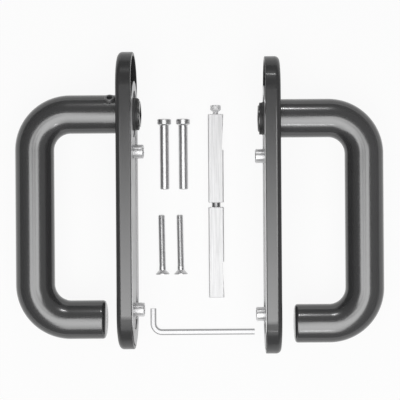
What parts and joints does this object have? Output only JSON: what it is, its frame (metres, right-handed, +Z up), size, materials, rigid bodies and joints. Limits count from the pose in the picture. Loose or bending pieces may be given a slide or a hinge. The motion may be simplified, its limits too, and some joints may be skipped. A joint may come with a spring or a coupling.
{
  "type": "fire door handle set",
  "caption": "Pair of U-shaped black lever handles on long round-ended plates, laid out with a split square spindle, sleeve nuts, countersunk screws and a hex key.",
  "frame": {"origin": "on the table, in the middle of the whole set's bounding box", "axes": "+X from the left handle to the right one, along the levers' turning axes; +Y from the lower ends of the plates to the ends with the levers' necks; +Z up from the table, across the plates' width"},
  "size_m": [0.2106, 0.173, 0.042],
  "materials": {
    "cover_nylon": "satin moulded",
    "lever_nylon": "satin moulded",
    "bush_nylon": "matt",
    "zinc_sheet": "zinc plated",
    "stud_steel": "turned, zinc plated",
    "spring_steel": "blackened",
    "black_steel": "blackened",
    "bright_steel": "nickel plated",
    "spindle_steel": "drawn, zinc plated",
    "link_steel": "turned",
    "key_steel": "nickel plated"
  },
  "bodies": {
    "plates_and_loose_parts": {"left_cover": "cover_nylon", "left_backing_plate": "zinc_sheet", "left_bearing_bush": "bush_nylon", "left_upper_stud": "stud_steel", "left_lower_stud": "stud_steel", "right_cover": "cover_nylon", "right_backing_plate": "zinc_sheet", "right_bearing_bush": "bush_nylon", "right_upper_stud": "stud_steel", "right_lower_stud": "stud_steel", "sleeve_nut_1": "bright_steel", "sleeve_nut_2": "bright_steel", "countersunk_screw_1": "bright_steel", "countersunk_screw_2": "bright_steel", "spindle_upper_half": "spindle_steel", "spindle_end_stub": "spindle_steel", "hex_key": "key_steel"},
    "left_lever_group": {"left_lever": "lever_nylon", "left_thrust_washer": "spring_steel", "left_retaining_ring": "spring_steel", "left_set_screw": "black_steel"},
    "right_lever_group": {"right_lever": "lever_nylon", "right_thrust_washer": "spring_steel", "right_retaining_ring": "spring_steel", "right_set_screw": "black_steel"},
    "spindle_lower_group": {"spindle_lower_half": "spindle_steel", "spindle_link": "link_steel"}
  },
  "joints": [
    {"name": "left_lever_turn", "type": "hinge", "parent": "plates_and_loose_parts", "child": "left_lever_group", "pos_m": [-0.03695, 0.051, 0.021], "axis": [1, 0, 0], "continuous": true},
    {"name": "right_lever_turn", "type": "hinge", "parent": "plates_and_loose_parts", "child": "right_lever_group", "pos_m": [0.03695, 0.048, 0.021], "axis": [1, 0, 0], "continuous": true},
    {"name": "spindle_twist", "type": "hinge", "parent": "plates_and_loose_parts", "child": "spindle_lower_group", "pos_m": [0.00925, -0.00135, 0.0045], "axis": [0, 1, 0], "continuous": true}
  ]
}
